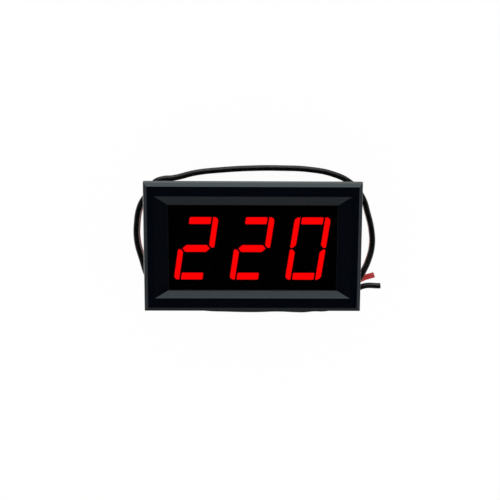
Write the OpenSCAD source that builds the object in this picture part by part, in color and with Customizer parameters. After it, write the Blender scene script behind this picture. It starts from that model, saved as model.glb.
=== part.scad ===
// Three-digit LED panel meter with a snap-in case and a pair of leads.
// It lies on its rear rim: +Z is the way the digits face and +Y is the way they stand up.

/* [Case] */
// Depth from the rear rim to the face of the bezel
case_depth = 21; // [20.5:0.5:26]
// Thickness of the flange that covers the edge of the panel
flange_t = 2.4; // [2:0.1:3]
// Room beside the display module out to the side of the case body
side_room = 3.7; // [3.6:0.1:4.2]
// Room above and below the display module out to the top and bottom of the case body
top_room = 3.45; // [3.4:0.05:4]
// Thickness of the case walls
wall = 1.5; // [1.2:0.1:1.6]
// How much the case narrows towards its rear rim, on each side
body_draft = 0.2; // [0.1:0.05:0.4]
// Radius of the upright corners of the case body
body_corner_r = 1; // [0.6:0.1:1.4]
// Radius of the corners of the flange
flange_corner_r = 0.4; // [0.2:0.1:0.8]
// How far the lower band of the rim leans inwards
rim_draft = 0.3; // [0.1:0.05:0.4]
// Width of the chamfer round the face of the bezel
rim_chamfer = 0.8; // [0.4:0.1:0.9]
// Width of the flat ring at the left and right of the bevel
ring_side = 1.6; // [1.4:0.05:3]
// Width of the flat ring above and below the bevel
ring_top = 2.15; // [1.9:0.05:4]
// Width of the bevel at the left and right of the window
bevel_side = 2.85; // [2:0.05:3]
// Width of the bevel above and below the window
bevel_top = 1.8; // [1.2:0.05:2]
// Depth of the bevel
bevel_depth = 1.6; // [1:0.1:1.8]
// Height of the upright lip between the bevel and the filter
lip_h = 0.4; // [0.2:0.1:0.6]
// How far the window sits below the middle of the bezel
window_drop = 0.25; // [0:0.05:0.3]

/* [Snap tongues] */
// Width of each snap tongue
tongue_w = 8; // [5:0.5:9]
// Width of the slot round each tongue
tongue_slot = 0.8; // [0.6:0.1:1.2]
// Distance from the rear rim to the root of each tongue
tongue_root = 3.5; // [3:0.5:5]
// Thickest panel that the tongues can grip
panel_max = 2.6; // [1.5:0.1:3]
// How far each tongue stands out of the case
barb = 1.1; // [0.8:0.1:1.3]

/* [Filter] */
// Thickness of the filter window
filter_t = 1; // [0.8:0.1:1.2]
// How far the filter reaches behind the window opening on each side
filter_lap = 0.6; // [0.4:0.1:0.8]
// Clearance round the filter in its pocket
filter_gap = 0.1; // [0.05:0.05:0.2]

/* [Display module] */
// Depth of the display module
module_d = 8; // [7:0.5:9]
// How far the display sits below the middle of the case
module_drop = 0.55; // [0:0.05:0.8]
// Height of each digit
digit_h = 14.1; // [13:0.1:15]
// Width of each digit before it is slanted
digit_w = 8; // [7:0.1:8.6]
// Space between one digit and the next
digit_space = 4.5; // [4.2:0.1:5]
// Distance from an end digit to the end of the module
end_margin = 2.3; // [2:0.05:3]
// Distance from the digits to the long edges of the module
edge_margin = 2.5; // [2.2:0.1:3]
// How far the digits sit left of the middle, to leave room for the last decimal point
digit_shift = 0.15; // [0:0.05:0.3]
// Slant of the digits in degrees
slant = 8.5; // [0:0.5:10]
// Width of the upright segments
upright_w = 1.2; // [0.9:0.05:1.4]
// Width of the level segments
level_w = 1.55; // [1.2:0.05:1.8]
// Dark gap between neighbouring segments
segment_gap = 0.4; // [0.2:0.05:0.6]
// Diameter of the decimal points
point_d = 1.5; // [1:0.1:1.6]
// Thickness of the substrate that carries the LED dies
substrate_t = 1; // [0.8:0.1:1.2]
// Depth of the potting resin behind the substrate
potting_t = 1.4; // [1:0.1:2]
// Thickness of the side walls round the substrate
shell_wall = 0.8; // [0.5:0.1:1]

/* [Pins] */
// Number of pins in each row
pins_per_row = 6; // [4:1:7]
// Distance from one pin to the next
pin_pitch = 2.54; // [2:0.02:2.6]
// Distance between the two rows of pins
pin_rows = 15.24; // [15:0.02:15.6]
// Diameter of a pin
pin_d = 0.5; // [0.4:0.05:0.6]
// How far the pins stand out behind the board
pin_tail = 1.5; // [1:0.1:2]

/* [Board] */
// Thickness of the main board
board_t = 1.6; // [1:0.1:1.8]
// Clearance between the board and the case walls
board_gap = 0.25; // [0.15:0.05:0.4]
// Diameter of the plated holes for pins and component legs
hole_d = 0.9; // [0.8:0.05:1.1]
// How far the board is cut back behind each snap tongue
board_relief = 1.3; // [1.1:0.1:1.5]

/* [Components] */
// Length of the dropper capacitor
dropper_l = 11; // [9:0.5:11]
// Width of the dropper capacitor
dropper_w = 8.4; // [7:0.2:8.6]
// Height of the dropper capacitor above the board
dropper_h = 4.8; // [4:0.1:6]
// Diameter of the reservoir capacitor
can_d = 5; // [4:0.1:5.2]
// Length of the reservoir capacitor
can_l = 10.4; // [8:0.1:10.6]
// Diameter of the fusible resistor
fuse_d = 2.4; // [2:0.1:2.8]
// Length of the fusible resistor's body
fuse_l = 6.4; // [5:0.1:7]
// Diameter of the component legs
leg_d = 0.6; // [0.4:0.05:0.7]
// Side of the square trimmer
trimmer_side = 6.6; // [6:0.1:7]
// Height of the trimmer above the board
trimmer_h = 4.6; // [4:0.1:5.5]
// Diameter of the trimmer's rotor
rotor_d = 4.2; // [3.6:0.1:4.6]
// Radial clearance round the rotor
rotor_gap = 0.08; // [0.03:0.01:0.1]

/* [Leads] */
// Outside diameter of each lead
lead_d = 1.4; // [1.2:0.05:1.4]
// Diameter of the bare conductor in each lead
core_d = 0.7; // [0.4:0.05:0.8]
// Clearance round the leads where they pass through the notch in the rear rim
notch_gap = 0.3; // [0.1:0.05:0.5]

/* [Hidden] */

$fn = 48;
far = 100;
over = 1;

// Display module outline, which the window and the case are fitted round
digit_pitch = digit_w + digit_space;
module_w = 2 * (digit_pitch + digit_w / 2 + end_margin);
module_h = digit_h + 2 * edge_margin;

// Case levels, counted up from the rear rim
flange_z = case_depth - flange_t;
lip_z = case_depth - bevel_depth;
filter_front_z = lip_z - lip_h;
filter_back_z = filter_front_z - filter_t;
module_z = filter_back_z - module_d;
board_rear_z = module_z - board_t;

// Case outlines
window_gap = 0.05;
window_w = module_w - 2 * window_gap;
window_h = module_h - 2 * window_gap;
rim_w = rim_chamfer + rim_draft;
bezel_w = window_w + 2 * (bevel_side + ring_side + rim_w);
bezel_h = window_h + 2 * (bevel_top + ring_top + rim_w);
body_w = module_w + 2 * side_room;
body_h = module_h + 2 * top_room;
cavity_w = body_w - 2 * wall;
cavity_h = body_h - 2 * wall;
cavity_corner_r = 0.5;
rear_chamfer = 0.4;
rim_chamfer_h = 0.6;
filter_w = window_w + 2 * filter_lap;
filter_h = window_h + 2 * filter_lap;

// Ribs that hold the board and nubs that keep it in
rib_t = 1;
rib_gap = 0.3;
rib_spacing = 13;
short_rib_y = 7.5;
nub_w = 3;
nub_spacing = 22;
nub_bite = 0.35;
nub_play = 0.05;
nub_h = 1.5;

// Snap tongues
tongue_top_z = flange_z - panel_max;
barb_land = 0.9;
barb_ramp_rise = 4.5;
barb_ramp_z = tongue_root + barb_ramp_rise;

// Board
board_w = cavity_w - 2 * board_gap;
board_h = cavity_h - 2 * board_gap;
board_corner_r = 0.6;
relief_h = tongue_w + 2 * tongue_slot;

// Display module
module_corner_r = 0.3;
die = 0.35;
die_h = 0.2;
substrate_rear_z = module_z + potting_t;
cavity_floor_z = substrate_rear_z + substrate_t;
resin_z = cavity_floor_z + die_h;
half_w = digit_w / 2;
half_h = digit_h / 2;
upright_corner_r = 0.95;
corner_cut = 0.15;
// Where the slanting edges of a middle segment and its neighbours would meet the middle line:
// they run at 45 degrees, which stretches the gap between them by this much along that line
gap_stretch = sqrt(2);
middle_tip = half_w - 0.95;
upright_tip = middle_tip + segment_gap * gap_stretch;

// Segments in the order a, b, c, d, e, f, g
SEGMENTS = ["a", "b", "c", "d", "e", "f", "g"];
LIT = [["a", "b", "g", "e", "d"], ["a", "b", "g", "e", "d"], ["a", "b", "c", "d", "e", "f"]];

// Solder and legs
fillet_r = 0.85;
fillet_top_r = 0.4;
pin_fillet_h = 0.9;
leg_bend_r = 0.5;
leg_fillet_h = fuse_d / 2 - leg_bend_r;
leg_end = board_t - 0.2;

// Small package sizes
mcu_size = [8.6, 3.9, 1.5];
mcu_legs_per_side = 7;
mcu_leg_pitch = 1.27;
mcu_leg_w = 0.42;
mcu_reach = 3;
mcu_lift = 0.1;
rectifier_size = [4.7, 3.9, 2.4];
rectifier_leg_pitch = 2.54;
rectifier_leg_w = 0.7;
rectifier_reach = 3.3;
rectifier_lift = 0.1;
gull_t = 0.2;
gull_foot = 0.6;
regulator_size = [4.5, 2.5, 1.5];
regulator_leg_pitch = 1.5;
chip_l = 2;
chip_w = 1.25;
chip_h = 0.55;
chip_end = 0.4;

// Places on the rear of the board, each set off from a board edge or from its neighbour
part_gap = 0.3;
dropper_edge = 1.05;
dropper_top_edge = 0.55;
dropper_leg_out = 1.3;
can_leg_out = 1.5;
fuse_leg_out = 1.7;
fuse_edge = 1;
rectifier_edge = 1.2;
rectifier_low_edge = 1.55;
trimmer_edge = 1.85;
trimmer_top_edge = 1.35;
chip_edge = 1.9;
mcu_at = [0, -module_drop];
regulator_at = [7, 2.6];
dropper_at = [
    -board_w / 2 + dropper_edge + dropper_l / 2, board_h / 2 - dropper_top_edge - dropper_w / 2
];
dropper_leg_y = dropper_at.y - dropper_w / 2 - dropper_leg_out;
can_at = [
    -board_w / 2 + dropper_edge + can_l / 2, dropper_leg_y - fillet_r - part_gap - can_d / 2
];
fuse_at = [
    -board_w / 2 + fuse_edge + fillet_r + fuse_leg_out + fuse_l / 2,
    can_at.y - can_d / 2 - fuse_d / 2
];
trimmer_at = [
    board_w / 2 - trimmer_edge - trimmer_side / 2, board_h / 2 - trimmer_top_edge - trimmer_side / 2
];
rectifier_at = [
    board_w / 2 - rectifier_edge - rectifier_size.x / 2,
    -board_h / 2 + rectifier_low_edge + rectifier_reach
];
side_chip_at = [
    board_w / 2 - chip_edge - chip_l / 2,
    (trimmer_at.y - trimmer_side / 2 + rectifier_at.y + rectifier_reach) / 2
];
chip_resistor_at = [[-5, -5.4], [-1.7, -5.4], [1.7, -5.4], [5, -5.4], side_chip_at];
chip_capacitor_at = [[-3.4, 4.1], [0, 4.1], [3.4, 4.1]];

// Trimmer
rotor_t = 0.9;
rotor_sink = 0.2;
rotor_shaft_d = 2.4;
rotor_shaft_l = 1.4;
slot_w = 0.6;
slot_depth = 0.5;

// Leads: each route runs from the board, out through the notch, round the case and back
lead_r = lead_d / 2;
stack = [-0.12, 0.08, 1.45];
notch_x = 11.6;
notch_w = lead_d + 2 * notch_gap;
notch_h = lead_d + stack.z + notch_gap;
pad_y = 0.2;
core_drop = 0.8;
pad_reach = 0.5;
pad_solder_h = 1.3;
pad_solder_r = 1.15;
pad_solder_top_r = 0.5;
black_start = [
    [10.3, -1.8, 7.6], [10.3, -2.4, 7.6], [10.4, -3.8, 7.1], [10.9, -6.4, 5.2],
    [11.35, -9.0, 3.1], [11.6, -11.0, 2.2]
];
red_start = [
    [12.9, -1.8, 7.6], [12.9, -2.4, 7.6], [12.8, -3.8, 6.7], [12.3, -6.2, 4.0],
    [11.85, -8.8, 1.5], [11.6, -11.0, 0.7]
];
// Shared stretch: the heights are those of the lower, red lead
loop = [
    [11.65, -12.6, 0.7], [12.1, -13.8, 0.7], [13.2, -14.8, 0.7], [15.0, -15.2, 0.8],
    [18.0, -15.15, 1.3], [21.3, -14.6, 2.0], [24.2, -12.7, 2.2], [26.3, -10.2, 2.2],
    [27.5, -8.1, 1.9], [28.5, -6.0, 1.5], [29.5, -2.2, 0.8], [29.3, 1.6, 0.7],
    [28.3, 5.6, 0.7], [26.8, 9.8, 0.7], [23.8, 13.2, 0.7], [19.5, 15.25, 0.7],
    [13.8, 16.3, 0.7], [7.2, 16.6, 0.7], [0.2, 16.55, 0.7], [-6.8, 16.15, 0.7],
    [-13.6, 15.4, 0.7], [-18.8, 14.15, 0.7], [-21.4, 13.9, 0.7], [-23.3, 13.1, 0.7],
    [-24.8, 10.8, 0.7], [-26.9, 7.5, 0.7], [-27.8, 3.2, 0.7], [-27.8, -1.2, 0.7],
    [-26.7, -5.6, 0.7], [-25.1, -10.4, 0.7], [-22.2, -14.2, 0.7], [-17.6, -16.65, 0.7],
    [-12.0, -17.75, 0.7], [-5.6, -18.05, 0.7], [1.0, -18.15, 0.7], [7.0, -18.0, 0.7]
];
red_tail = [
    [12.6, -16.9, 0.7], [17.6, -16.65, 0.7], [20.4, -16.0, 0.7], [22.8, -14.4, 0.7],
    [25.0, -12.1, 0.7], [27.5, -10.5, 0.7], [30.3, -9.6, 0.7]
];
black_tail = [
    [10.6, -18.1, 2.02], [13.0, -18.3, 1.3], [15.4, -18.2, 0.75], [18.6, -18.15, 0.7],
    [21.4, -17.3, 0.7], [23.75, -15.75, 0.7], [25.5, -13.9, 0.7], [27.4, -12.55, 0.7],
    [31.9, -12.35, 0.7]
];
red_route = concat(red_start, loop, red_tail);
black_route = concat(black_start, [for (p = loop) p + stack], black_tail);

// ---- Shared shapes ----

// Flat plate with rounded corners, standing on z = 0
module rounded_plate(size, r, h) {
    linear_extrude(h) {
        square([size.x - 2 * r, size.y], center = true);
        square([size.x, size.y - 2 * r], center = true);
        for (sx = [-1, 1], sy = [-1, 1])
            translate([sx * (size.x / 2 - r), sy * (size.y / 2 - r)]) circle(r);
    }
}

// Outline in X and Z, drawn right through in Y
module along_y(outline) {
    rotate([90, 0, 0]) linear_extrude(far, center = true) polygon(outline);
}

// Outline in Y and Z, drawn right through in X
module along_x(outline) {
    rotate([90, 0, 90]) linear_extrude(far, center = true) polygon(outline);
}

// A half outline and its mirror image, as one closed outline
function both_sides(half) =
    concat(half, [for (i = [len(half) - 1 : -1 : 0]) [-half[i].x, half[i].y]]);

// Four-sided form with mitred corners, from the half outlines of its two sections
module mitred(half_x, half_y) {
    intersection() {
        along_y(both_sides(half_x));
        along_x(both_sides(half_y));
    }
}

// Moulded block with sides that lean in above and below its middle
module moulded_block(size, lean = 0.15) {
    mid = size.z / 2;
    function side(half) = [[half - lean, 0], [half, mid], [half - lean, size.z]];
    mitred(side(size.x / 2), side(size.y / 2));
}

// Places its children on the rear face of the board, with their own +Z pointing away from it
module on_board_rear(at, turn = 0) {
    translate([at.x, at.y, board_rear_z]) mirror([0, 0, 1]) rotate([0, 0, turn]) children();
}

// Leg that leaves a body level at height h, bends over and drops into the board
module bent_leg(out, h) {
    run = out - leg_bend_r;
    translate([-0.01, 0, h]) rotate([0, 90, 0]) cylinder(h = run + 0.01, d = leg_d, $fn = 24);
    translate([run, 0, h - leg_bend_r]) rotate([90, 0, 0])
        rotate_extrude(angle = 90, $fn = 24) translate([leg_bend_r, 0]) circle(d = leg_d, $fn = 24);
    translate([out, 0, -leg_end]) cylinder(h = leg_end + h - leg_bend_r, d = leg_d, $fn = 24);
}

// Plated-through joint of height h round a pin or leg of the given diameter
module solder_fillet(d, h) {
    difference() {
        cylinder(h = h, r1 = fillet_r, r2 = fillet_top_r, $fn = 24);
        translate([0, 0, -over]) cylinder(h = h + 2 * over, d = d, $fn = 24);
    }
}

// Gull-wing leg in Y and Z: a foot on the board, a riser and a shoulder into the body
module gull_leg(w, body_edge, reach, shoulder_z) {
    t = gull_t;
    foot = gull_foot;
    translate([-w / 2, 0, 0]) rotate([90, 0, 90]) linear_extrude(w) polygon([
        [reach, 0], [reach - foot, 0], [body_edge + t, shoulder_z - t], [body_edge, shoulder_z - t],
        [body_edge, shoulder_z], [body_edge + 2 * t, shoulder_z], [reach - foot + t, t], [reach, t]
    ]);
}

// ---- Case ----

function body_half(full) = [
    [full / 2 - body_draft - rear_chamfer, 0], [full / 2 - body_draft, rear_chamfer],
    [full / 2, flange_z + 0.01]
];
function flange_half(full) = [
    [full / 2, flange_z], [full / 2 - rim_draft, case_depth - rim_chamfer_h],
    [full / 2 - rim_draft - rim_chamfer, case_depth]
];

module case_body() {
    intersection() {
        mitred(body_half(body_w), body_half(body_h));
        rounded_plate([body_w, body_h], body_corner_r, case_depth);
    }
}

module case_flange() {
    intersection() {
        mitred(flange_half(bezel_w), flange_half(bezel_h));
        rounded_plate([bezel_w, bezel_h], flange_corner_r, case_depth + over);
    }
}

// Mitred funnel in front of the window, with the upright lip below it
module window_funnel() {
    slope_x = bevel_side / bevel_depth;
    side = window_w / 2;
    top = window_h / 2 - window_drop;
    bottom = window_h / 2 + window_drop;
    outer = window_h / 2 + bevel_top;
    function flare(inner, edge) = edge + (edge - inner) / bevel_depth * over;
    intersection() {
        along_y(both_sides([
            [side, filter_front_z - 0.01], [side, lip_z],
            [side + bevel_side + slope_x * over, case_depth + over]
        ]));
        along_x([
            [-bottom, filter_front_z - 0.01], [top, filter_front_z - 0.01], [top, lip_z],
            [flare(top, outer), case_depth + over], [-flare(bottom, outer), case_depth + over],
            [-bottom, lip_z]
        ]);
    }
}

module filter_pocket() {
    translate([0, -window_drop, filter_back_z - 0.01])
        rounded_plate([filter_w + 2 * filter_gap, filter_h + 2 * filter_gap], 0.4, filter_t + 0.01);
}

// Slot that frees one snap tongue on three sides, in the wall at +X
module tongue_slots() {
    slot_top = tongue_top_z + tongue_slot;
    through = wall + barb + over;
    x = cavity_w / 2 - 0.01;
    for (s = [-1, 1])
        translate([x, s * (tongue_w + tongue_slot) / 2 - tongue_slot / 2, tongue_root])
            cube([through, tongue_slot, slot_top - tongue_root]);
    translate([x, -tongue_w / 2 - 0.01, tongue_top_z])
        cube([through, tongue_w + 0.02, tongue_slot]);
}

// Ramped barb on the tongue in the wall at +X
module tongue_barb() {
    root = body_w / 2 - wall / 2;
    face = body_w / 2 - body_draft;
    rotate([90, 0, 0]) linear_extrude(tongue_w, center = true) polygon([
        [root, barb_ramp_z], [face, barb_ramp_z], [body_w / 2 + barb, tongue_top_z - barb_land - 0.6],
        [body_w / 2 + barb, tongue_top_z - barb_land], [body_w / 2 + barb / 3, tongue_top_z],
        [root, tongue_top_z]
    ]);
}

// Ribs whose ends the front of the board rests on
module board_ribs() {
    rib_z = board_rear_z + board_t;
    rib_h = filter_back_z - rib_z + 0.01;
    top_y = module_h / 2 - module_drop + rib_gap;
    bottom_y = module_h / 2 + module_drop + rib_gap;
    side_x = module_w / 2 + rib_gap;
    for (i = [-1, 0, 1]) {
        translate([i * rib_spacing - rib_t / 2, top_y, rib_z])
            cube([rib_t, cavity_h / 2 - top_y + 0.01, rib_h]);
        translate([i * rib_spacing - rib_t / 2, -cavity_h / 2 - 0.01, rib_z])
            cube([rib_t, cavity_h / 2 - bottom_y + 0.01, rib_h]);
    }
    for (sx = [-1, 1], sy = [-1, 1])
        translate([min(sx * side_x, sx * (cavity_w / 2 + 0.01)), sy * short_rib_y - rib_t / 2, rib_z])
            cube([cavity_w / 2 - side_x + 0.01, rib_t, rib_h]);
}

// Nubs that the board snaps past, just behind its rear face
module board_nubs() {
    z = board_rear_z - nub_play;
    tip = board_h / 2 - nub_bite;
    for (sx = [-1, 1], turn = [0, 180])
        translate([sx * nub_spacing / 2, 0, 0]) rotate([0, 0, turn])
            rotate([90, 0, 90]) linear_extrude(nub_w, center = true) polygon([
                [tip, z], [cavity_h / 2 + 0.01, z], [cavity_h / 2 + 0.01, z - nub_h], [tip, z - 0.3]
            ]);
}

module lead_notch() {
    translate([notch_x - notch_w / 2, -body_h / 2 - over, -over])
        cube([notch_w, wall + 2 * over, notch_h + over]);
}

module hollow_case() {
    difference() {
        union() {
            case_body();
            case_flange();
        }
        translate([0, 0, -over])
            rounded_plate([cavity_w, cavity_h], cavity_corner_r, filter_back_z + over);
        for (turn = [0, 180]) rotate([0, 0, turn]) tongue_slots();
        lead_notch();
    }
}

module case() color("#14161b") {
    difference() {
        union() {
            hollow_case();
            for (turn = [0, 180]) rotate([0, 0, turn]) tongue_barb();
            board_ribs();
            board_nubs();
        }
        filter_pocket();
        window_funnel();
    }
}

module filter_window() color("#150405") {
    translate([0, -window_drop, filter_back_z])
        rounded_plate([filter_w, filter_h], 0.3, filter_t);
}

// ---- Display module ----

function lean(points) = [for (p = points) [p.x + p.y * tan(slant), p.y]];
function flip_x(points) = [for (i = [len(points) - 1 : -1 : 0]) [-points[i].x, points[i].y]];
function flip_y(points) = [for (i = [len(points) - 1 : -1 : 0]) [points[i].x, -points[i].y]];

// Upper right segment, upright: round outer corner on top, slanting inner corner below
upright_right = concat(
    [[half_w - upright_w, half_h], [half_w - upright_corner_r, half_h]],
    [for (a = [75 : -15 : 0]) [
        half_w - upright_corner_r * (1 - cos(a)), half_h - upright_corner_r * (1 - sin(a))
    ]],
    [
        [half_w, segment_gap / 2 + corner_cut], [half_w - corner_cut, segment_gap / 2],
        [upright_tip - segment_gap / 2, segment_gap / 2],
        [half_w - upright_w, upright_tip - half_w + upright_w]
    ]
);
level_end = half_w - upright_w - segment_gap;
level_top = [
    [-level_end + corner_cut, half_h], [level_end - corner_cut, half_h],
    [level_end, half_h - corner_cut], [level_end, half_h - level_w + corner_cut],
    [level_end - corner_cut, half_h - level_w], [-level_end + corner_cut, half_h - level_w],
    [-level_end, half_h - level_w + corner_cut], [-level_end, half_h - corner_cut]
];
level_middle = [
    [-middle_tip, 0], [-middle_tip + level_w / 2, level_w / 2],
    [middle_tip - level_w / 2, level_w / 2], [middle_tip, 0],
    [middle_tip - level_w / 2, -level_w / 2], [-middle_tip + level_w / 2, -level_w / 2]
];

function segment(name) =
    name == "a" ? level_top :
    name == "b" ? upright_right :
    name == "c" ? flip_y(upright_right) :
    name == "d" ? flip_y(level_top) :
    name == "e" ? flip_x(flip_y(upright_right)) :
    name == "f" ? flip_x(upright_right) : level_middle;

function segment_middle(name) =
    name == "a" ? [0, half_h - level_w / 2] :
    name == "b" ? [half_w - upright_w / 2, half_h / 2] :
    name == "c" ? [half_w - upright_w / 2, -half_h / 2] :
    name == "d" ? [0, -half_h + level_w / 2] :
    name == "e" ? [-half_w + upright_w / 2, -half_h / 2] :
    name == "f" ? [-half_w + upright_w / 2, half_h / 2] : [0, 0];

function is_lit(digit, name) = len([for (s = LIT[digit]) if (s == name) s]) > 0;
function point_middle() = [half_w + point_d / 2 + segment_gap, -half_h + point_d / 2];

module at_digit(digit, z) {
    translate([(digit - 1) * digit_pitch - digit_shift, -module_drop, z]) children();
}

// Segment prisms of one digit, from the given names
module segment_prisms(digit, names, z, h) {
    at_digit(digit, z) for (name = names) linear_extrude(h) polygon(lean(segment(name)));
}

module point_prisms(z, h) {
    for (digit = [0 : 2])
        at_digit(digit, z) translate(lean([point_middle()])[0]) cylinder(h = h, d = point_d);
}

module lit_digit(digit) color("#fd0405") {
    segment_prisms(digit, LIT[digit], resin_z, filter_back_z - resin_z);
}

module display_housing() color("#08090a") {
    difference() {
        translate([0, -module_drop, module_z])
            rounded_plate([module_w, module_h], module_corner_r, module_d);
        translate([0, -module_drop, module_z - over]) rounded_plate(
            [module_w - 2 * shell_wall, module_h - 2 * shell_wall], module_corner_r,
            potting_t + substrate_t + over
        );
        for (digit = [0 : 2]) segment_prisms(digit, SEGMENTS, module_z, module_d + over);
        point_prisms(module_z, module_d + over);
    }
}

module unlit_segments() color("#120707") {
    for (digit = [0 : 2]) segment_prisms(
        digit, [for (s = SEGMENTS) if (!is_lit(digit, s)) s], resin_z, filter_back_z - resin_z
    );
}

module decimal_points() color("#120707") {
    point_prisms(resin_z, filter_back_z - resin_z);
}

module led_dies() color("#d8a23a") {
    for (digit = [0 : 2]) at_digit(digit, cavity_floor_z) {
        for (name = SEGMENTS)
            translate(concat(lean([segment_middle(name)])[0], die_h / 2))
                cube([die, die, die_h], center = true);
        translate(concat(lean([point_middle()])[0], die_h / 2))
            cube([die, die, die_h], center = true);
    }
}

module display_back_plate(z, h) {
    translate([0, -module_drop, z])
        rounded_plate([module_w - 2 * shell_wall, module_h - 2 * shell_wall], module_corner_r, h);
}

module display_substrate() color("#e7e3d4") {
    display_back_plate(substrate_rear_z, substrate_t);
}

module at_pins() {
    for (i = [0 : pins_per_row - 1], s = [-1, 1])
        translate([(i - (pins_per_row - 1) / 2) * pin_pitch, s * pin_rows / 2 - module_drop, 0])
            children();
}

module display_potting() color("#ece8dc") {
    difference() {
        display_back_plate(module_z, potting_t);
        at_pins() translate([0, 0, module_z - over])
            cylinder(h = potting_t + 2 * over, d = pin_d, $fn = 24);
    }
}

module display_pins() color("#c9cbc8") {
    at_pins() translate([0, 0, board_rear_z - pin_tail])
        cylinder(h = substrate_rear_z - board_rear_z + pin_tail, d = pin_d, $fn = 24);
}

module pin_solder() color("#d3d6d8") {
    at_pins() translate([0, 0, board_rear_z]) mirror([0, 0, 1]) solder_fillet(pin_d, pin_fillet_h);
}

// ---- Board ----

// Places of the component legs, in the board's own X and Y
dropper_leg_inset = 1.75;
dropper_leg_x = dropper_l / 2 - dropper_leg_inset;
can_leg_y = 1;
trimmer_pin = 2.2;
leg_places = concat(
    [for (s = [-1, 1]) [dropper_at.x + s * dropper_leg_x, dropper_leg_y]],
    [for (s = [-1, 1]) [can_at.x + can_l / 2 + can_leg_out, can_at.y + s * can_leg_y]],
    [for (s = [-1, 1]) [fuse_at.x + s * (fuse_l / 2 + fuse_leg_out), fuse_at.y]]
);
trimmer_pin_places = [
    for (p = [[-trimmer_pin, -trimmer_pin], [trimmer_pin, -trimmer_pin], [0, trimmer_pin]])
        trimmer_at + p
];

module main_board() color("#1d5a3a") {
    difference() {
        translate([0, 0, board_rear_z]) rounded_plate([board_w, board_h], board_corner_r, board_t);
        for (s = [-1, 1])
            translate([s * board_w / 2, 0, board_rear_z + board_t / 2])
                cube([2 * board_relief, relief_h, board_t + 2 * over], center = true);
        at_pins() translate([0, 0, board_rear_z - over])
            cylinder(h = board_t + 2 * over, d = hole_d, $fn = 24);
        for (p = concat(leg_places, trimmer_pin_places))
            translate([p.x, p.y, board_rear_z - over])
                cylinder(h = board_t + 2 * over, d = hole_d, $fn = 24);
    }
}

module leg_solder() color("#d3d6d8") {
    for (p = leg_places) on_board_rear(p) solder_fillet(leg_d, leg_fillet_h);
}

module microcontroller() color("#191a1c") {
    on_board_rear(mcu_at) difference() {
        translate([0, 0, mcu_lift]) moulded_block(mcu_size);
        translate([-mcu_size.x / 2 + 1, -mcu_size.y / 2 + 1, mcu_size.z]) cylinder(h = over, d = 0.8);
    }
}

module microcontroller_legs() color("#c4c7c9") {
    for (turn = [0, 180], i = [0 : mcu_legs_per_side - 1])
        on_board_rear(mcu_at, turn)
            translate([(i - (mcu_legs_per_side - 1) / 2) * mcu_leg_pitch, 0, 0])
                gull_leg(mcu_leg_w, mcu_size.y / 2, mcu_reach, mcu_lift + mcu_size.z / 2);
}

module bridge_rectifier() color("#1b1b1d") {
    on_board_rear(rectifier_at) translate([0, 0, rectifier_lift])
        moulded_block(rectifier_size, 0.2);
}

module rectifier_legs() color("#c4c7c9") {
    for (turn = [0, 180], i = [-1, 1])
        on_board_rear(rectifier_at, turn) translate([i * rectifier_leg_pitch / 2, 0, 0])
            gull_leg(
                rectifier_leg_w, rectifier_size.y / 2, rectifier_reach,
                rectifier_lift + rectifier_size.z / 2
            );
}

module voltage_regulator() color("#1a1a1c") {
    on_board_rear(regulator_at, 90) translate([0, 0, 0.2]) moulded_block(regulator_size, 0.12);
}

// Three legs on one side and the wide cooling tab on the other
module regulator_legs() color("#c4c7c9") {
    under = 0.2;
    leg_w = 0.45;
    tab_w = 1.7;
    leg_l = 1.5;
    on_board_rear(regulator_at, 90) {
        for (i = [-1, 0, 1])
            translate([i * regulator_leg_pitch - leg_w / 2, regulator_size.y / 2 - 0.7, 0])
                cube([leg_w, leg_l, under]);
        translate([-tab_w / 2, -regulator_size.y / 2 - 0.5, 0]) cube([tab_w, leg_l, under]);
    }
}

module dropper_capacitor() color("#9c2f22") {
    on_board_rear(dropper_at) mitred(
        [[dropper_l / 2, 0], [dropper_l / 2, dropper_h - 0.5], [dropper_l / 2 - 0.5, dropper_h]],
        [[dropper_w / 2, 0], [dropper_w / 2, dropper_h - 0.5], [dropper_w / 2 - 0.5, dropper_h]]
    );
}

module dropper_legs() color("#c9cbc8") {
    for (s = [-1, 1])
        on_board_rear(dropper_at + [s * dropper_leg_x, -dropper_w / 2], -90)
            bent_leg(dropper_leg_out, dropper_h / 2);
}

// Sleeved aluminium can lying on the board, with its rolled groove and crimped end
module reservoir_capacitor() color("#22306b") {
    r = can_d / 2;
    end = can_l / 2;
    edge_r = 0.3;
    groove = 0.25;
    groove_z = end - 1.25;
    on_board_rear(can_at) translate([0, 0, r]) rotate([0, 90, 0]) rotate_extrude($fn = 64) polygon([
        [0, -end], [r - edge_r, -end], [r, -end + edge_r], [r, groove_z - 0.35],
        [r - groove, groove_z - 0.15], [r - groove, groove_z + 0.15], [r, groove_z + 0.35],
        [r, end - 0.2], [r - 0.2, end], [r - 0.7, end], [r - 0.7, end - 0.5], [0, end - 0.5]
    ]);
}

module reservoir_bung() color("#1f1f20") {
    r = can_d / 2 - 0.7;
    on_board_rear(can_at) translate([can_l / 2 - 0.5, 0, can_d / 2])
        rotate([0, 90, 0]) cylinder(h = 0.4, r = r);
}

module reservoir_legs() color("#c9cbc8") {
    for (s = [-1, 1])
        on_board_rear(can_at + [can_l / 2 - 0.1, s * can_leg_y])
            bent_leg(can_leg_out + 0.1, can_d / 2);
}

// Axial resistor lying on the board: end caps with a slimmer middle
module fusible_resistor() color("#6f8fa8") {
    r = fuse_d / 2;
    end = fuse_l / 2;
    on_board_rear(fuse_at) translate([0, 0, r]) rotate([0, 90, 0]) rotate_extrude($fn = 48) polygon([
        [0, -end], [r - 0.35, -end], [r, -end + 0.35], [r, -end + 1.1], [r - 0.15, -end + 1.5],
        [r - 0.15, end - 1.5], [r, end - 1.1], [r, end - 0.35], [r - 0.35, end], [0, end]
    ]);
}

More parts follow.
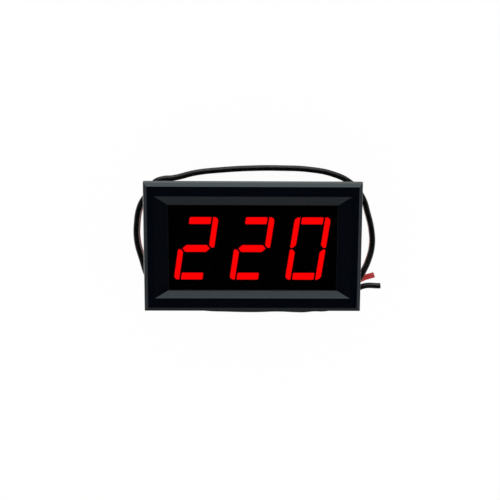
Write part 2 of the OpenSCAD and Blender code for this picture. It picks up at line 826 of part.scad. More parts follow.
module resistor_legs() color("#c9cbc8") {
    for (turn = [0, 180])
        translate([fuse_at.x, fuse_at.y, 0]) rotate([0, 0, turn])
            on_board_rear([fuse_l / 2, 0]) bent_leg(fuse_leg_out, fuse_d / 2);
}

module chip_bodies(places) {
    for (p = places) on_board_rear(p) translate([0, 0, chip_h / 2 + 0.04])
        cube([chip_l - 2 * chip_end, chip_w, chip_h], center = true);
}

module chip_terminals(places) {
    for (p = places, s = [-1, 1])
        on_board_rear(p) translate([s * (chip_l - chip_end) / 2, 0, chip_h / 2 + 0.04])
            cube([chip_end, chip_w + 0.08, chip_h + 0.08], center = true);
}

module chip_resistors() color("#17181a") chip_bodies(chip_resistor_at);
module chip_resistor_ends() color("#d3d6d8") chip_terminals(chip_resistor_at);
module chip_capacitors() color("#a8865c") chip_bodies(chip_capacitor_at);
module chip_capacitor_ends() color("#d3d6d8") chip_terminals(chip_capacitor_at);

// ---- Trimmer ----

rotor_face = trimmer_h - rotor_sink;
rotor_seat = rotor_face - rotor_t;

module trimmer_base() color("#2b63b8") {
    edge = 0.4;
    half = trimmer_side / 2;
    half_outline = [[half, 0], [half, trimmer_h - edge], [half - edge, trimmer_h]];
    on_board_rear(trimmer_at) difference() {
        mitred(half_outline, half_outline);
        translate([0, 0, rotor_seat]) cylinder(h = trimmer_h, d = rotor_d + 2 * rotor_gap);
        translate([0, 0, rotor_seat - rotor_shaft_l - 0.3])
            cylinder(h = trimmer_h, d = rotor_shaft_d + 2 * rotor_gap);
    }
}

module trimmer_pins() color("#c9cbc8") {
    for (p = trimmer_pin_places)
        translate([p.x, p.y, board_rear_z]) cylinder(h = leg_end, d = pin_d, $fn = 24);
}

// Slotted disc on a short shaft
module trimmer_rotor() color("#e8e6df") {
    on_board_rear(trimmer_at) difference() {
        union() {
            translate([0, 0, rotor_seat]) cylinder(h = rotor_t, d = rotor_d);
            translate([0, 0, rotor_seat - rotor_shaft_l])
                cylinder(h = rotor_shaft_l + 0.1, d = rotor_shaft_d);
        }
        translate([0, 0, rotor_face]) for (turn = [0, 90]) rotate([0, 0, turn])
            cube([turn == 0 ? rotor_d - 0.8 : rotor_d / 2, slot_w, 2 * slot_depth], center = true);
    }
}

// ---- Leads ----

// Bare end of each conductor, lying just behind its pad
module bare_end(start) {
    translate([start.x, start.y, board_rear_z - core_drop]) rotate([-90, 0, 0])
        cylinder(h = pad_y - start.y, d = core_d, $fn = 24);
}

module lead_cores() color("#c98a5a") {
    bare_end(black_start[0]);
    bare_end(red_start[0]);
}

module lead_solder() color("#d3d6d8") {
    for (start = [black_start[0], red_start[0]]) difference() {
        on_board_rear([start.x, pad_y - pad_reach])
            cylinder(h = pad_solder_h, r1 = pad_solder_r, r2 = pad_solder_top_r, $fn = 32);
        bare_end(start);
    }
}

function unit(v) = v / norm(v);

// Direction of the route at point i
function heading(route, i) =
    unit(route[min(i + 1, len(route) - 1)] - route[max(i - 1, 0)]);

// Round tube that follows a route, as one polyhedron
module tube(route, r, sides = 8) {
    last = len(route) - 1;
    points = [for (i = [0 : last])
        let (ahead = heading(route, i), across = unit(cross([0, 0, 1], ahead)), up = cross(ahead, across))
            for (k = [0 : sides - 1])
                let (a = 360 * (k + 0.5) / sides) route[i] + r * (cos(a) * across + sin(a) * up)];
    walls = [for (i = [0 : last - 1], k = [0 : sides - 1])
        let (a = i * sides + k, b = i * sides + (k + 1) % sides)
            each [[a, a + sides, b + sides], [a, b + sides, b]]];
    start_cap = [for (k = [0 : sides - 1]) k];
    end_cap = [for (k = [sides - 1 : -1 : 0]) last * sides + k];
    polyhedron(points, concat(walls, [start_cap, end_cap]));
}

module red_lead() color("#be2d2d") tube(red_route, lead_r);
module black_lead() color("#0a0b0c") tube(black_route, lead_r);

// ---- Pieces ----

case();
filter_window();
display_housing();
lit_digit(0);  // digit_1_lit
lit_digit(1);  // digit_2_lit
lit_digit(2);  // digit_3_lit
unlit_segments();
decimal_points();
led_dies();
display_substrate();
display_potting();
display_pins();
pin_solder();
main_board();
microcontroller();
microcontroller_legs();
bridge_rectifier();
rectifier_legs();
voltage_regulator();
regulator_legs();
dropper_capacitor();
dropper_legs();
reservoir_capacitor();
reservoir_bung();
reservoir_legs();
fusible_resistor();
resistor_legs();
leg_solder();
chip_resistors();
chip_resistor_ends();
chip_capacitors();
chip_capacitor_ends();
trimmer_base();
trimmer_pins();
trimmer_rotor();
lead_cores();
lead_solder();
red_lead();
black_lead();
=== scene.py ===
# %% [markdown]
# # A three-digit panel meter
#
# The meter is a black moulded case that snaps into a hole in a panel. Three red digits
# show through a dark window, and two thin leads come out at the back. It lies here on
# its rear rim, so the digits face up (+Z) and their tops point along +Y.
#
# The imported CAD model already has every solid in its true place, in metres. This script
# keeps those solids where they are and gives them their looks: soft edges, finishes, real
# leads, solder joints, light and a camera.

# %% Load the frame
import math

import bpy
from mathutils import Matrix, Vector


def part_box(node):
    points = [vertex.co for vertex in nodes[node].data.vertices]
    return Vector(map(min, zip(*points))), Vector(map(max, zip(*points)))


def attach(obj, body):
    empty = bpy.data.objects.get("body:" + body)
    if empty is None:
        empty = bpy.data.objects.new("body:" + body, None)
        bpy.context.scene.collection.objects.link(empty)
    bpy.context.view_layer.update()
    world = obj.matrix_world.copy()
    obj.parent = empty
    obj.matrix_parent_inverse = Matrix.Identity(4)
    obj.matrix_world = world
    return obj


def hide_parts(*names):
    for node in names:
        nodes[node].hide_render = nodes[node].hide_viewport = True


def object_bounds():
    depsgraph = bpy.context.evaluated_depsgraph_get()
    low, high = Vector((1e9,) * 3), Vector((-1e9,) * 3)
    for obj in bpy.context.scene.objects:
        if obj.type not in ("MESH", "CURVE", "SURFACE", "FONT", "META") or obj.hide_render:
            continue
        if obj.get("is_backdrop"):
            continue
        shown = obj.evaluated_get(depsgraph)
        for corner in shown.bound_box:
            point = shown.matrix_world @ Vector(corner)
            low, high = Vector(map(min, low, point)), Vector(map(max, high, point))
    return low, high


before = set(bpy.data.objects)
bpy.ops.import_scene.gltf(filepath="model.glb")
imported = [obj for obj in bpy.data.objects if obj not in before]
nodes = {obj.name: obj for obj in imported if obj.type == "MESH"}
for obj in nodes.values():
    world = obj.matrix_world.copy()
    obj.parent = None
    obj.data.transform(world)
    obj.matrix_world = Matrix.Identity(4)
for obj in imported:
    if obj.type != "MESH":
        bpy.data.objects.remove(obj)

mm = 0.001
cad_low, cad_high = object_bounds()
print(len(nodes), "nodes; overall", [round(v / mm, 1) for v in cad_high - cad_low], "mm")

# %% [markdown]
# ## The camera
#
# A small object is usually looked at from close by, with a slightly long lens, so that
# its sides lean only a little. The camera looks at the middle of the bezel from a hand's
# length away, tipped a few degrees towards the top of the digits. Its direction is worked
# out from those angles, because a turn written as three angles is hard to read back.

# %% Camera
face = Vector((0, 0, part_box("case")[1].z))
camera_distance = 175 * mm
tip = math.radians(8.4)
swing = math.radians(-0.83)
roll = math.radians(0.27)

away = Vector((math.sin(swing) * math.cos(tip), math.sin(tip),
               math.cos(tip) * math.cos(swing)))
camera = bpy.data.objects.new("camera", bpy.data.cameras.new("camera"))
bpy.context.scene.collection.objects.link(camera)
camera.location = face + away * camera_distance
camera.rotation_mode = "QUATERNION"
right = Vector((0, 1, 0)).cross(away).normalized()
look = Matrix((right, away.cross(right), away)).transposed()
camera.rotation_quaternion = (look @ Matrix.Rotation(roll, 3, "Z")).to_quaternion()
camera.data.sensor_width = 36
camera.data.lens = 57.28
camera.data.shift_x = -0.0058
camera.data.shift_y = -0.0038
camera.data.clip_start, camera.data.clip_end = 0.01, 10
bpy.context.scene.camera = camera
print("camera", [round(v / mm, 1) for v in camera.location], "mm, lens", camera.data.lens)

# %% [markdown]
# ## The two leads
#
# Each lead is a fine stranded conductor in a soft plastic sleeve. Both leave the board,
# pass through a notch in the rim, go once round the case as a stacked pair and end side
# by side. A curve with smooth handles is the natural tool: it has a true length, a round
# section from its bevel, and it bends evenly through the points of the route. The route
# is the one that the CAD solids follow, so the curves lie where those lay.

# %% Route points
lead_d = 1.4 * mm
stack = Vector((-0.12, 0.08, 1.45)) * mm

black_start = [
    (10.3, -1.8, 7.6), (10.3, -2.4, 7.6), (10.4, -3.8, 7.1), (10.9, -6.4, 5.2),
    (11.35, -9.0, 3.1), (11.6, -11.0, 2.2)]
red_start = [
    (12.9, -1.8, 7.6), (12.9, -2.4, 7.6), (12.8, -3.8, 6.7), (12.3, -6.2, 4.0),
    (11.85, -8.8, 1.5), (11.6, -11.0, 0.7)]
loop = [
    (11.65, -12.6, 0.7), (12.1, -13.8, 0.7), (13.2, -14.8, 0.7), (15.0, -15.2, 0.8),
    (18.0, -15.15, 1.3), (21.3, -14.6, 2.0), (24.2, -12.7, 2.2), (26.3, -10.2, 2.2),
    (27.5, -8.1, 1.9), (28.5, -6.0, 1.5), (29.5, -2.2, 0.8), (29.3, 1.6, 0.7),
    (28.3, 5.6, 0.7), (26.8, 9.8, 0.7), (23.8, 13.2, 0.7), (19.5, 15.25, 0.7),
    (13.8, 16.3, 0.7), (7.2, 16.6, 0.7), (0.2, 16.55, 0.7), (-6.8, 16.15, 0.7),
    (-13.6, 15.4, 0.7), (-18.8, 14.15, 0.7), (-21.4, 13.9, 0.7), (-23.3, 13.1, 0.7),
    (-24.8, 10.8, 0.7), (-26.9, 7.5, 0.7), (-27.8, 3.2, 0.7), (-27.8, -1.2, 0.7),
    (-26.7, -5.6, 0.7), (-25.1, -10.4, 0.7), (-22.2, -14.2, 0.7), (-17.6, -16.65, 0.7),
    (-12.0, -17.75, 0.7), (-5.6, -18.05, 0.7), (1.0, -18.15, 0.7), (7.0, -18.0, 0.7)]
red_tail = [
    (12.6, -16.9, 0.7), (17.6, -16.65, 0.7), (20.4, -16.0, 0.7), (22.8, -14.4, 0.7),
    (25.0, -12.1, 0.7), (27.5, -10.5, 0.7), (30.3, -9.6, 0.7)]
black_tail = [
    (10.6, -18.1, 2.02), (13.0, -18.3, 1.3), (15.4, -18.2, 0.75), (18.6, -18.15, 0.7),
    (21.4, -17.3, 0.7), (23.75, -15.75, 0.7), (25.5, -13.9, 0.7), (27.4, -12.55, 0.7),
    (31.9, -12.35, 0.7)]


def in_metres(points, lift=Vector()):
    return [Vector(p) * mm + lift for p in points]


red_route = in_metres(red_start) + in_metres(loop) + in_metres(red_tail)
black_route = in_metres(black_start) + in_metres(loop, stack) + in_metres(black_tail)


def route_length(route):
    return sum((b - a).length for a, b in zip(route, route[1:]))


print("red", round(route_length(red_route) / mm), "mm")
print("black", round(route_length(black_route) / mm), "mm")

# %% Lead curves
def make_lead(name, route, node):
    curve = bpy.data.curves.new(name, "CURVE")
    curve.dimensions = "3D"
    curve.resolution_u = 6
    curve.bevel_depth = 1.0
    curve.bevel_resolution = 4
    curve.use_fill_caps = True
    spline = curve.splines.new("BEZIER")
    spline.bezier_points.add(len(route) - 1)
    for point, place in zip(spline.bezier_points, route):
        point.co, point.radius = place, lead_d / 2
        point.handle_left_type = point.handle_right_type = "AUTO"
    spline.use_smooth = True
    lead = bpy.data.objects.new(name, curve)
    bpy.context.scene.collection.objects.link(lead)
    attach(lead, "meter")
    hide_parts(node)
    return lead


red_lead = make_lead("red_sleeve", red_route, "red_lead")
black_lead = make_lead("black_sleeve", black_route, "black_lead")
print("leads made")

# %% [markdown]
# ## Writing finishes as expressions
#
# Every finish below is a small set of nodes. To keep them readable, one class wraps a
# node socket, so that `1 - mask * 0.3` adds the Math nodes it needs. Colours go through
# a Mix node, because a Math node would turn them grey.

# %% Socket arithmetic
class Wire:
    """An output socket that can be written into an expression."""

    def __init__(self, tree, socket):
        self.tree, self.socket = tree, socket

    def node(self, kind, settings=None, values=None, output=0):
        """Adds a node: its settings are set first, then the values or links of its sockets."""
        made = self.tree.nodes.new(kind)
        for name, value in (settings or {}).items():
            if name == "stops":
                for stop, (position, colour) in zip(ramp_stops(made, len(value)), value):
                    stop.position, stop.color = position, colour
            else:
                setattr(made, name, value)
        for name, value in (values or {}).items():
            if isinstance(value, Wire):
                self.tree.links.new(value.socket, made.inputs[name])
            else:
                made.inputs[name].default_value = value
        return Wire(self.tree, made.outputs[output])

    def maths(self, operation, first, second=0.0):
        return self.node("ShaderNodeMath", {"operation": operation}, {0: first, 1: second})

    def __add__(self, other):
        return self.maths("ADD", self, other)

    def __sub__(self, other):
        return self.maths("SUBTRACT", self, other)

    def __rsub__(self, other):
        return self.maths("SUBTRACT", other, self)

    def __mul__(self, other):
        return self.maths("MULTIPLY", self, other)

    def __gt__(self, other):
        return self.maths("GREATER_THAN", self, other)

    def __lt__(self, other):
        return self.maths("LESS_THAN", self, other)

    __radd__, __rmul__ = __add__, __mul__

    def __abs__(self):
        return self.maths("ABSOLUTE", self)

    def part(self, axis):
        """One coordinate of a place."""
        return self.node("ShaderNodeSeparateXYZ", None, {0: self}, output=axis)

    def noise(self, per_mm, detail=2.0, stretch=(1, 1, 1)):
        """Soft noise from 0 to 1 with that many lumps to a millimetre."""
        scale = [per_mm / mm * s for s in stretch]
        scaled = self.node("ShaderNodeMapping", None, {0: self, 3: scale})
        return self.node("ShaderNodeTexNoise", None,
                         {"Vector": scaled, "Scale": 1.0, "Detail": detail})

    def between(self, low, high):
        """Stretches a noise, which keeps near its middle, to fill low to high."""
        usual_low, usual_high = 0.3, 0.7
        return self.node("ShaderNodeMapRange", {"clamp": True},
                         {0: self, 1: usual_low, 2: usual_high, 3: low, 4: high})

    def colours(self, first, second):
        """Mixes two colours, with this wire as the share of the second."""
        return self.node("ShaderNodeMix", {"data_type": "RGBA"},
                         {0: self, 6: first, 7: second}, output=2)

    def bump(self, depth, strength):
        """A normal from this height, where 1 stands for the given depth in metres."""
        return self.node("ShaderNodeBump", None,
                         {"Height": self, "Distance": depth, "Strength": strength})


def ramp_stops(ramp_node, count):
    """The stops of a colour ramp whose colours change at once, as painted bands do."""
    ramp_node.color_ramp.interpolation = "CONSTANT"
    stops = ramp_node.color_ramp.elements
    while len(stops) < count:
        stops.new(0.5)
    return stops


def grey(value):
    return (value, value, value, 1)


def rgb(red, green, blue):
    return (red, green, blue, 1)


print("wires ready")

# %% [markdown]
# A finish starts as one Principled shader. What changes over the surface, such as colour,
# roughness and bump, is linked; what is the same everywhere is set on the shader itself.

# %% A finish and the object's own coordinates
def new_finish(name, **same_everywhere):
    finish = bpy.data.materials.new(name)
    finish.use_nodes = True
    shader = finish.node_tree.nodes["Principled BSDF"]
    for socket, value in same_everywhere.items():
        shader.inputs[socket.replace("_", " ")].default_value = value
    coordinates = finish.node_tree.nodes.new("ShaderNodeTexCoord")
    return finish, Wire(finish.node_tree, coordinates.outputs["Object"])


def connect(finish, **wires):
    shader = finish.node_tree.nodes["Principled BSDF"]
    for socket, wire in wires.items():
        finish.node_tree.links.new(wire.socket, shader.inputs[socket.replace("_", " ")])
    return finish


def speckle(place, grain):
    """Fine noise, and a shade from 0 to 1 that mixes it with broad noise."""
    broad, fine = place.noise(0.35, 3.0), place.noise(grain)
    return fine, (broad * 0.6 + fine * 0.4).between(0.0, 1.0)


def speckled(name, dark, light, roughness, grain=6.0, depth=2e-6, **same_everywhere):
    """Even finish with fine speckle: small changes of shade, gloss and height."""
    finish, place = new_finish(name, **same_everywhere)
    fine, shade = speckle(place, grain)
    return connect(finish,
                   Base_Color=shade.colours(dark, light),
                   Roughness=fine.between(roughness - 0.05, roughness + 0.05),
                   Normal=fine.bump(depth, 0.6))


def dress(finish, *names):
    for name in names:
        piece = nodes[name] if name in nodes else bpy.data.objects[name]
        if piece.type == "MESH":
            piece.data.materials.clear()
        piece.data.materials.append(finish)


print("finish maker ready")

# %% [markdown]
# ## Finishes of the case and the display
#
# The case is black plastic from a mould with a fine, even spark-eroded texture: a matte
# sheen with a bluish cast. The filter is nearly black, and only the light of the digits
# gets through it. Lit segments shine evenly; the rest of the display stays dark.
#
# The filter could be a glass that bends light, but a thin flat sheet hardly bends it. So
# it is made partly clear instead, which lets the digits' light through unbent.

# %% Case, filter and display finishes
def case_plastic():
    """Eroded black plastic, left rougher on the small upright lip round the window."""
    finish, place = new_finish("case_plastic", Specular_IOR_Level=0.28,
                               Specular_Tint=rgb(0.78, 0.96, 1.0))
    fine, shade = speckle(place, 9.0)
    lip_x, lip_y, window_y = 18.85 * mm, 9.6 * mm, -0.25 * mm
    lip = (abs(place.part("X")) < lip_x) * (abs(place.part("Y") - window_y) < lip_y)
    dark, light = rgb(0.0001, 0.0005, 0.003), rgb(0.0002, 0.001, 0.005)
    return connect(finish,
                   Base_Color=shade.colours(dark, light),
                   Roughness=fine.between(0.27, 0.33) + lip * 0.6,
                   Normal=fine.bump(3.5e-6, 0.5))


dress(case_plastic(), "case")


def smoked_filter():
    """Deep red-black sheet, with an opaque printed band round it behind the case's lip; the band
    is also painted shade for the dark inside of the case.
    """
    finish, place = new_finish("filter_plastic", Specular_IOR_Level=0.15)
    clear_x, clear_y, middle_y = 18.5 * mm, 9.2 * mm, -0.4 * mm
    # The opaque border is partly print and partly painted shade: it covers gaps inside the case
    # that would otherwise show the white floor.
    shade_border = (abs(place.part("X")) > clear_x) + (abs(place.part("Y") - middle_y) > clear_y)
    ripple = place.noise(0.2, 1.0)
    dark, light = rgb(0.0003, 0.0001, 0.0001), rgb(0.0004, 0.0001, 0.0001)
    smoke = 0.35
    return connect(finish,
                   Base_Color=ripple.colours(dark, light),
                   Roughness=ripple.between(0.06, 0.1),
                   Alpha=smoke + shade_border * (1 - smoke),
                   Normal=ripple.bump(3e-7, 0.5))


dress(smoked_filter(), "filter_window")
dress(speckled("display_shell", rgb(0.0004, 0.0004, 0.0005), rgb(0.0006, 0.0006, 0.0007), 0.6,
               Specular_IOR_Level=0.05), "display_housing")
dress(speckled("unlit_resin", rgb(0.0012, 0.0004, 0.0004), rgb(0.0018, 0.0005, 0.0005), 0.5,
               Specular_IOR_Level=0.1), "unlit_segments", "decimal_points")
lit = speckled("lit_resin", rgb(0.2, 0.0008, 0.0008), rgb(0.24, 0.001, 0.001), 0.5,
               Emission_Color=rgb(1.0, 0.0006, 0.0009), Emission_Strength=2.25,
               Specular_IOR_Level=0.0)
dress(lit, "digit_1_lit", "digit_2_lit", "digit_3_lit")

# The resin touches the filter's back, so the filter moves a hair forward to part the two
hair = 0.02 * mm
clear = nodes["filter_window"].modifiers.new("clear of the resin", "DISPLACE")
clear.direction, clear.mid_level, clear.strength = "Z", 0.0, hair
print("front finishes on")

# %% [markdown]
# ## Finishes of the leads
#
# Soft vinyl has a slight gloss with a faintly uneven surface from the extruder. Real
# lumps would cost many faces and hardly show, so a shallow bump stands for them.

# %% Lead finishes
dress(speckled("red_vinyl", rgb(0.47, 0.017, 0.015), rgb(0.55, 0.026, 0.022), 0.4,
               grain=1.5, depth=3e-6), "red_sleeve")
dress(speckled("black_vinyl", rgb(0.0008, 0.0009, 0.0009), rgb(0.0014, 0.0015, 0.0016), 0.42,
               grain=1.5, depth=3e-6, Specular_IOR_Level=0.3), "black_sleeve")
print("lead finishes on")

# %% [markdown]
# ## Soft edges on the components
#
# No moulded or sawn edge is perfectly sharp. The components keep their meshes and get
# three live modifiers: one merges their loose triangles, one joins flat neighbours into
# whole faces, and a bevel rounds the edges that are left, so each catches a thin line of
# light. The case is left as it is: its own chamfers are in its solid, and its mesh has
# edges so short that a bevel would fold over them.

# %% Soft edges
def soften(width, *names):
    for name in names:
        merge = nodes[name].modifiers.new("merge", "WELD")
        merge.merge_threshold = 0.001 * mm
        flat = nodes[name].modifiers.new("whole faces", "DECIMATE")
        flat.decimate_type, flat.angle_limit = "DISSOLVE", math.radians(0.5)
        edge = nodes[name].modifiers.new("soft edges", "BEVEL")
        edge.width, edge.segments, edge.angle_limit = width, 2, math.radians(30)
        edge.limit_method = "ANGLE"


soften(0.07 * mm, "trimmer_base")
soften(0.05 * mm, "trimmer_rotor", "bridge_rectifier", "voltage_regulator")
soften(0.03 * mm, "microcontroller", "chip_resistors", "chip_capacitors",
       "chip_resistor_ends", "chip_capacitor_ends")
print("edges softened")

# %% [markdown]
# ## Solder joints
#
# Molten solder climbs a pin and leaves a hollow, shiny cone on a round copper pad. It is
# modelled as one joint: a filled circle, extruded and narrowed step by step. The
# joint is then copied to each pin or leg, and the copies are joined into one piece.

# %% Modelling helpers
def select_only(*pieces):
    bpy.ops.object.select_all(action="DESELECT")
    for piece in pieces:
        piece.select_set(True)
    bpy.context.view_layer.objects.active = pieces[0]


def turned(name, centre, profile, vertices=24):
    """A round form that hangs down from centre; the profile lists depths and radii."""
    bpy.ops.object.select_all(action="DESELECT")
    bpy.ops.mesh.primitive_circle_add(vertices=vertices, radius=profile[0][1],
                                      fill_type="NGON", location=centre)
    form = bpy.context.object
    form.name = name
    bpy.ops.object.mode_set(mode="EDIT")
    bpy.ops.mesh.select_all(action="SELECT")
    for (depth, radius), (next_depth, next_radius) in zip(profile, profile[1:]):
        step = Vector((0, 0, depth - next_depth))
        bpy.ops.mesh.extrude_region_move(TRANSFORM_OT_translate={"value": step})
        share = next_radius / radius
        bpy.ops.transform.resize(value=(share, share, 1), center_override=centre)
    bpy.ops.mesh.select_all(action="SELECT")
    bpy.ops.mesh.normals_make_consistent(inside=False)
    bpy.ops.object.mode_set(mode="OBJECT")
    select_only(form)
    bpy.ops.object.transform_apply(location=True, rotation=True, scale=True)
    return form


def repeat(form, places):
    """Copies a form from the first place to the others, then joins the copies to it."""
    copies = []
    for place in places[1:]:
        copy = bpy.data.objects.new(form.name, form.data.copy())
        copy.data.transform(Matrix.Translation(place - places[0]))
        bpy.context.scene.collection.objects.link(copy)
        copies.append(copy)
    select_only(form, *copies)
    bpy.ops.object.join()
    return form


def hand_over(piece, slot, *replaced):
    """Smooths a finished piece, puts it on the meter's body and hides the parts it replaces."""
    select_only(piece)
    bpy.ops.object.shade_smooth_by_angle(angle=math.radians(40))
    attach(piece, "meter")
    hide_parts(*replaced)
    print(piece.name, len(piece.data.polygons), "faces")


board_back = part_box("main_board")[0].z


def tips(name, reach):
    """Where a node's separate solids end at the back, from its rearmost points."""
    points = [v.co for v in nodes[name].data.vertices]
    just_past_rear = min(p.z for p in points) + 0.01 * mm
    bunches = []
    for p in (p for p in points if p.z < just_past_rear):
        near = [bunch for bunch in bunches if (bunch[0] - p).length < reach]
        if near:
            near[0].append(p)
        else:
            bunches.append([p])
    return [Vector(((min(p.x for p in b) + max(p.x for p in b)) / 2,
                    (min(p.y for p in b) + max(p.y for p in b)) / 2,
                    board_back)) for b in bunches]


print("board back at", round(board_back / mm, 2), "mm")

# %% Pin and leg joints
def joint_profile(height, pin_radius):
    """Pad rim, then a cone that is steep near the pin and shallow near the pad."""
    pad_r, pad_t, foot_r = 1.0 * mm, 0.04 * mm, 0.88 * mm
    rim = [(0.0, pad_r), (pad_t, pad_r), (0.05 * mm, foot_r)]
    # Shares of the height, and widths that shrink from the foot towards a neck of 0.27
    hollow = [(0.09, 0.82), (0.2, 0.64), (0.36, 0.49), (0.56, 0.39), (0.78, 0.33), (1.0, 0.3)]
    neck, neck_to_foot, joint_r = 0.27, 0.58, 0.85 * mm
    spread = (joint_r - pin_radius) * 0.95
    return rim + [(share * height, pin_radius + (width - neck) / neck_to_foot * spread)
                  for share, width in hollow]


pin_places = tips("pin_solder", 1.0 * mm)
pin_joints = turned("pin_joints", pin_places[0], joint_profile(0.9 * mm, 0.25 * mm))
hand_over(repeat(pin_joints, pin_places), "solder", "pin_solder")

leg_places = tips("leg_solder", 1.0 * mm)
leg_joints = turned("leg_joints", leg_places[0], joint_profile(0.7 * mm, 0.3 * mm))
hand_over(repeat(leg_joints, leg_places), "solder", "leg_solder")

# %% [markdown]
# The leads are soldered flat on two pads, under a rounded blob that buries each bare end.
# The same turning makes it, from a fuller profile than a joint's.

# %% Blobs on the leads
blob_profile = [(depth * mm, radius * mm) for depth, radius in (
    (0.0, 1.3), (0.04, 1.3), (0.05, 1.16), (0.3, 1.13), (0.6, 1.02), (0.88, 0.84),
    (1.1, 0.6), (1.24, 0.34), (1.3, 0.1))]
blob_places = tips("lead_solder", 1.2 * mm)
blob = turned("lead_blobs", blob_places[0], blob_profile, vertices=32)
hand_over(repeat(blob, blob_places), "solder", "lead_solder")

# %% [markdown]
# ## The dipped film capacitor
#
# The dropper capacitor is dipped in epoxy, so its body is a soft-cornered block. A cube of
# the solid's own size gets its edges rounded, and a little unevenness from a low, broad
# displacement of the finely divided faces.

# %% Dipped capacitor
dip_corner, wave_size, wave_depth = 1.1 * mm, 3.5 * mm, 0.25 * mm

dropper_low, dropper_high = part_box("dropper_capacitor")
bpy.ops.object.select_all(action="DESELECT")
bpy.ops.mesh.primitive_cube_add(size=1, location=(dropper_low + dropper_high) / 2,
                                scale=dropper_high - dropper_low)
dipped = bpy.context.object
dipped.name = "dipped_capacitor"
bpy.ops.object.transform_apply(location=True, rotation=True, scale=True)
bpy.ops.object.mode_set(mode="EDIT")
bpy.ops.mesh.select_all(action="SELECT")
bpy.ops.mesh.bevel(offset=dip_corner, segments=5, profile=0.6, affect="EDGES")
bpy.ops.mesh.select_all(action="SELECT")
bpy.ops.mesh.subdivide(number_cuts=2)
bpy.ops.mesh.normals_make_consistent(inside=False)
bpy.ops.object.mode_set(mode="OBJECT")
waves = bpy.data.textures.new("dip waves", "CLOUDS")
waves.noise_scale = wave_size
uneven = dipped.modifiers.new("uneven dip", "DISPLACE")
uneven.texture, uneven.strength, uneven.mid_level = waves, wave_depth, 1.0
uneven.texture_coords = "LOCAL"
select_only(dipped)
bpy.ops.object.modifier_apply(modifier=uneven.name)
hand_over(dipped, "film_capacitor", "dropper_capacitor")

# %% [markdown]
# ## Bare strands at the cut ends
#
# Each lead was cut straight across, so its seven copper strands show as small round ends,
# almost level with the sleeve. One strand is turned like a joint and copied round a ring.

# %% Strand ends
strand_r = 0.115 * mm
strand_profile = [(0.0, strand_r), (0.32 * mm, strand_r), (0.36 * mm, strand_r * 0.6)]
strand_sunk = 0.3 * mm


def strand_end(name, route):
    """Six strands round a seventh, sunk into the cut end and turned to face along it."""
    ahead = (route[-1] - route[-2]).normalized()
    ring = [Vector((0, 0, 0))] + [Vector((math.cos(a), math.sin(a), 0)) * 2.05 * strand_r
                                  for a in (math.tau * i / 6 for i in range(6))]
    strands = turned(name, ring[0], strand_profile, vertices=10)
    repeat(strands, ring)
    turn = Vector((0, 0, -1)).rotation_difference(ahead).to_matrix().to_4x4()
    strands.data.transform(Matrix.Translation(route[-1] - ahead * strand_sunk) @ turn)
    hand_over(strands, "copper_core")
    return strands


red_strands = strand_end("red_strands", red_route)
black_strands = strand_end("black_strands", black_route)

# %% [markdown]
# A lead with its strands is now whole. For each lead, the point where it leaves the case
# at the notch in its rim is found and printed.

# %% Where the leads leave the case
exit_y = -12.9 * mm


def declare_lead(lead, route):
    notch = min(route[:10], key=lambda p: abs(p.y - exit_y))
    route_length(route)
    print(lead.name, "leaves the case at", [round(v / mm, 1) for v in notch], "mm")


declare_lead(red_lead, red_route)
declare_lead(black_lead, black_route)

# %% [markdown]
# ## The finish of the board
#
# A board is woven glass and resin under a green mask. Where copper lies under the mask it
# looks lighter, and the gaps between the copper areas look darker. The gaps come from a
# cell pattern measured along the axes, because a board is laid out at right angles. White
# outlines are printed round the larger components, and tinned holes join the two sides.

# %% Board finish
def outline_round(place, *names, gap=0.4 * mm, line=0.16 * mm):
    """A printed rectangle just outside the box that the named nodes fill."""
    boxes = [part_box(name) for name in names]
    low = [min(box[0][i] for box in boxes) for i in range(2)]
    high = [max(box[1][i] for box in boxes) for i in range(2)]
    beyond = [abs(place.part(axis) - (low[i] + high[i]) / 2) - (high[i] - low[i]) / 2
              for i, axis in enumerate("XY")]
    return abs(place.maths("MAXIMUM", *beyond) - gap) < line / 2


def cells(place, size, looseness=1.0, feature="F1", distance="EUCLIDEAN"):
    """Distance to the nearest, or the second nearest, point of a loose grid."""
    settings = {"voronoi_dimensions": "2D", "feature": feature, "distance": distance}
    return place.node("ShaderNodeTexVoronoi", settings,
                      {"Vector": place, "Scale": 1 / size, "Randomness": looseness})


